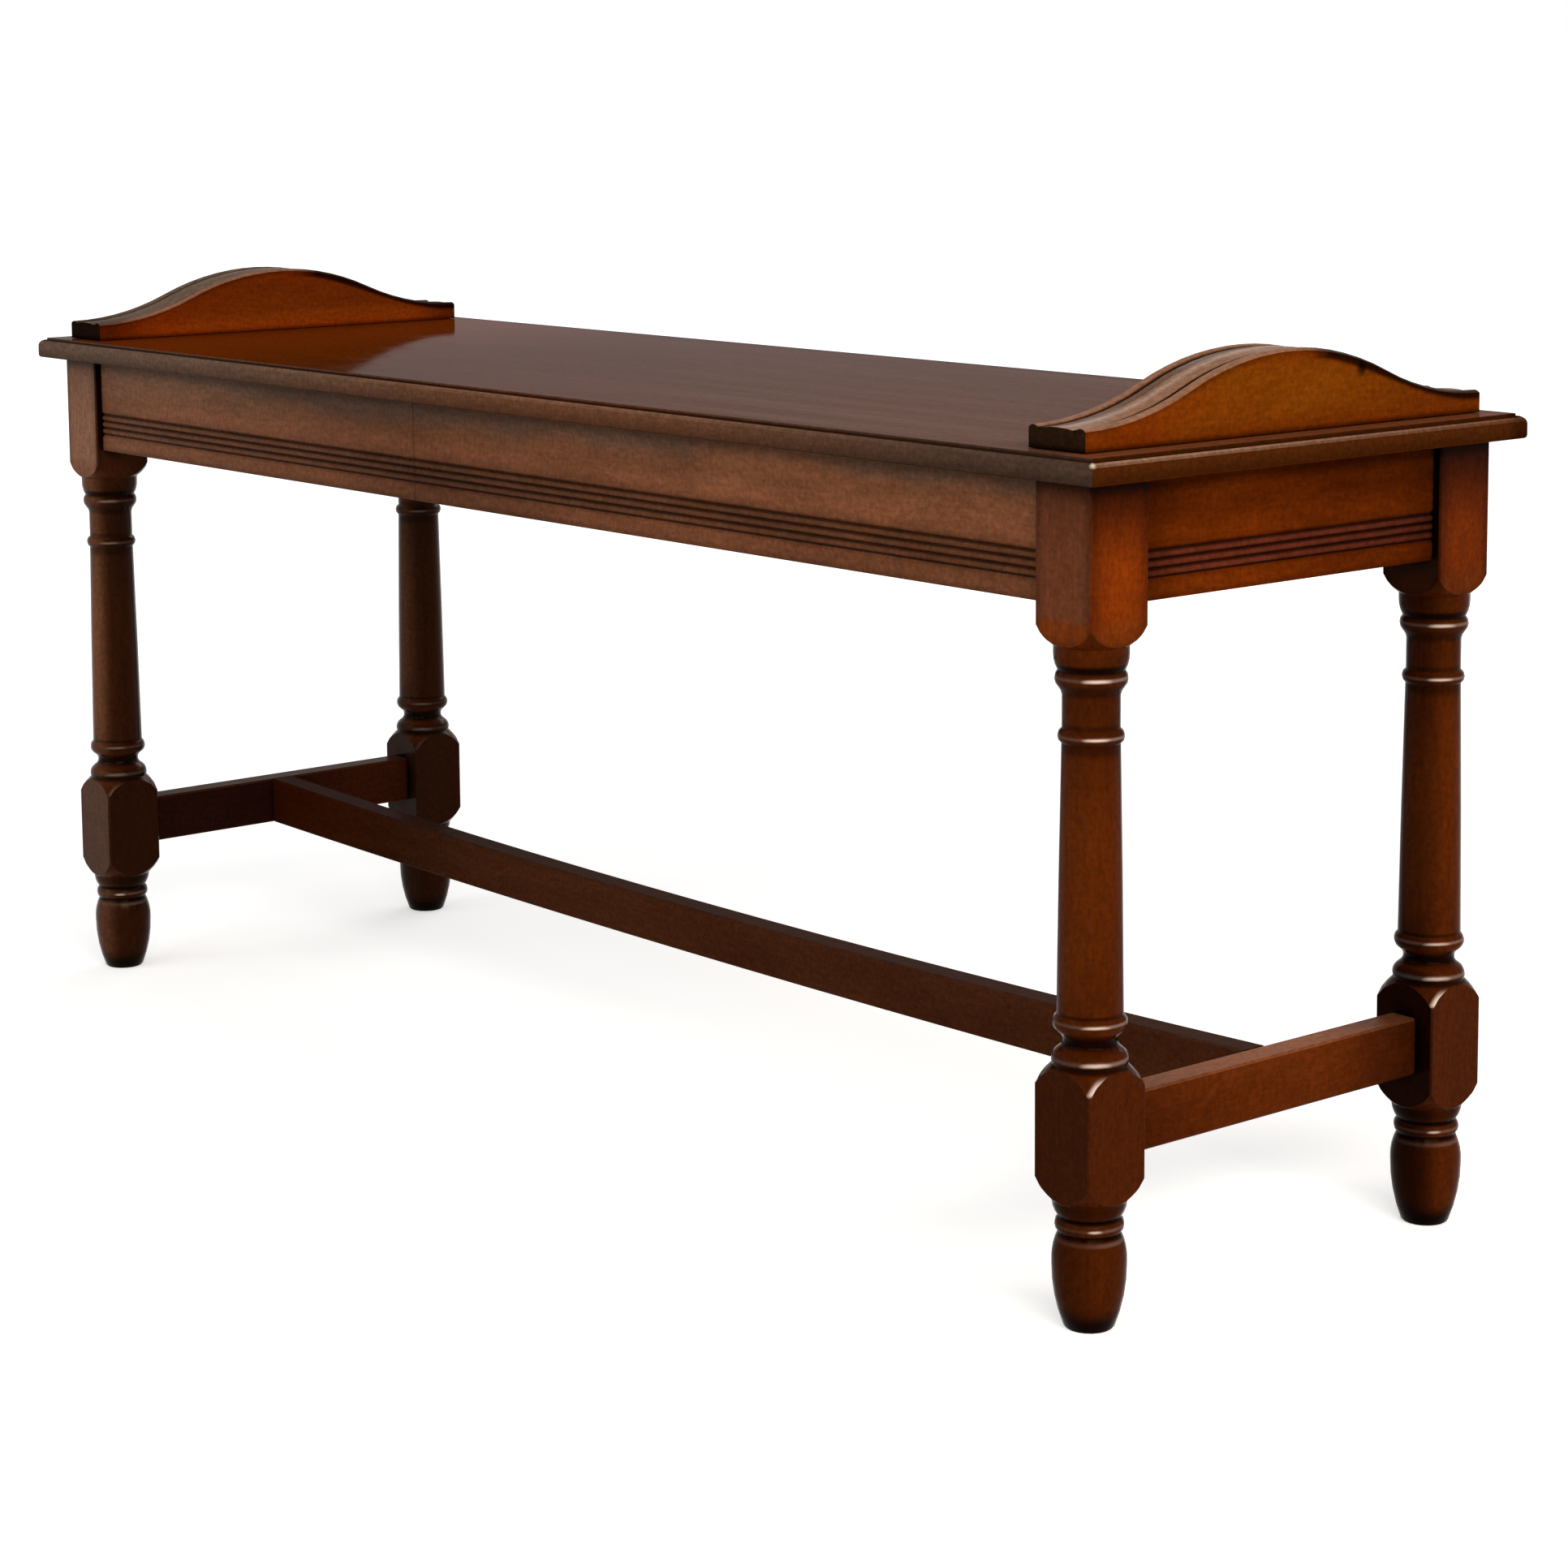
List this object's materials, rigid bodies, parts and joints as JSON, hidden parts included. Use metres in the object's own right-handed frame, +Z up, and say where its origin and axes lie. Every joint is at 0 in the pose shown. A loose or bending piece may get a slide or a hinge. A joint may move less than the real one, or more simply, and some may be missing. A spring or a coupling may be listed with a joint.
{
  "type": "hall bench",
  "caption": "Long low bench with turned legs, reeded frieze rails, an H stretcher, a thumb-moulded seat and an arched upstand across each end.",
  "frame": {"origin": "on the floor, under the middle of the seat", "axes": "+X along the bench to its right end, -Y towards its front, +Z up"},
  "size_m": [1.153, 0.3586, 0.5404],
  "materials": {
    "polished_wood": "French polished red-brown mahogany",
    "plain_wood": "sawn and planed mahogany, left bare inside the frame",
    "screw": "plain dulled steel"
  },
  "bodies": {
    "root": {"centre_stretcher": "polished_wood", "front_glue_block_1": "plain_wood", "front_glue_block_2": "plain_wood", "front_glue_block_3": "plain_wood", "front_left_corner_block": "plain_wood", "front_left_leg": "polished_wood", "front_rail": "polished_wood", "front_right_corner_block": "plain_wood", "front_right_leg": "polished_wood", "left_end_stretcher": "polished_wood", "left_glue_block_1": "plain_wood", "left_glue_block_2": "plain_wood", "left_rail": "polished_wood", "left_upstand": "polished_wood", "left_upstand_screw_1": "screw", "left_upstand_screw_2": "screw", "left_upstand_screw_3": "screw", "rear_glue_block_1": "plain_wood", "rear_glue_block_2": "plain_wood", "rear_glue_block_3": "plain_wood", "rear_left_corner_block": "plain_wood", "rear_left_leg": "polished_wood", "rear_rail": "polished_wood", "rear_right_corner_block": "plain_wood", "rear_right_leg": "polished_wood", "right_end_stretcher": "polished_wood", "right_glue_block_1": "plain_wood", "right_glue_block_2": "plain_wood", "right_rail": "polished_wood", "right_upstand": "polished_wood", "right_upstand_screw_1": "screw", "right_upstand_screw_2": "screw", "right_upstand_screw_3": "screw", "seat_board": "polished_wood", "seat_screw_1": "screw", "seat_screw_10": "screw", "seat_screw_2": "screw", "seat_screw_3": "screw", "seat_screw_4": "screw", "seat_screw_5": "screw", "seat_screw_6": "screw", "seat_screw_7": "screw", "seat_screw_8": "screw", "seat_screw_9": "screw"}
  },
  "joints": []
}
